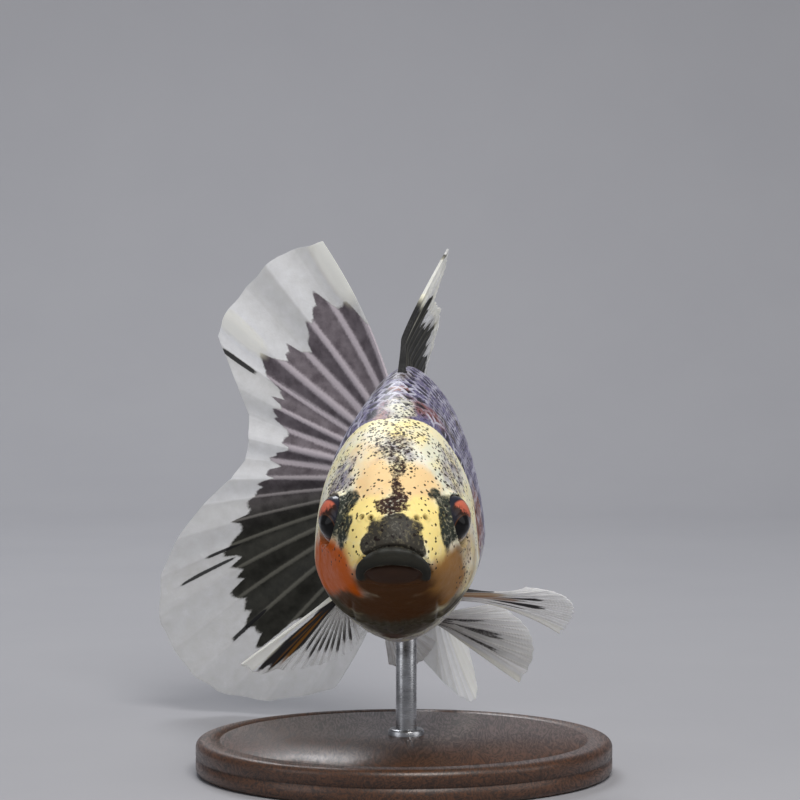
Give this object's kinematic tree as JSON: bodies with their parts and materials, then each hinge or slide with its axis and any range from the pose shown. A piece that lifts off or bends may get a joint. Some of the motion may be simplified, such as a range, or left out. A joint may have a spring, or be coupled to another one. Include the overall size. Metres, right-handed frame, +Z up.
{
  "type": "shubunkin goldfish museum model",
  "caption": "Still, life-size calico single-tail goldfish, head on with its tail swept aside, held by one rod on a flat round stand.",
  "frame": {"origin": "middle of the underside of the stand's base", "axes": "+Z up through the stand and the fish's back, -Y ahead of the fish's mouth, +X to the fish's left"},
  "size_m": [0.0703, 0.1024, 0.0759],
  "materials": {
    "head_gold": "wet satin skin, gold and cream with small black specks",
    "lip_slate": "soft satin, dark slate",
    "gill_orange": "wet satin skin, orange fading to gold",
    "eye_black": "high gloss, black pupil in an orange ring",
    "calico_scales": "satin overlapping scales, lavender grey with black dashes",
    "fin_white": "thin satin membrane over fine rays, white with dark streaks",
    "fin_black": "thin satin membrane over fine rays, black inside a white margin",
    "stand_dark_wood": "dark stained, satin",
    "stand_steel": "fine brushed"
  },
  "bodies": {
    "root": {"head": "head_gold", "upper_lip": "lip_slate", "lower_lip": "lip_slate", "gill_cover_left": "gill_orange", "gill_cover_right": "gill_orange", "eye_left": "eye_black", "eye_right": "eye_black", "trunk": "calico_scales", "tail_stalk": "calico_scales", "dorsal_fin": "fin_white", "anal_fin": "fin_white", "pectoral_fin_left": "fin_white", "pectoral_fin_right": "fin_white", "pelvic_fin_left": "fin_white", "pelvic_fin_right": "fin_white", "tail_fin_upper": "fin_black", "tail_fin_lower": "fin_black", "stand_base": "stand_dark_wood", "stand_rod": "stand_steel"}
  },
  "joints": []
}
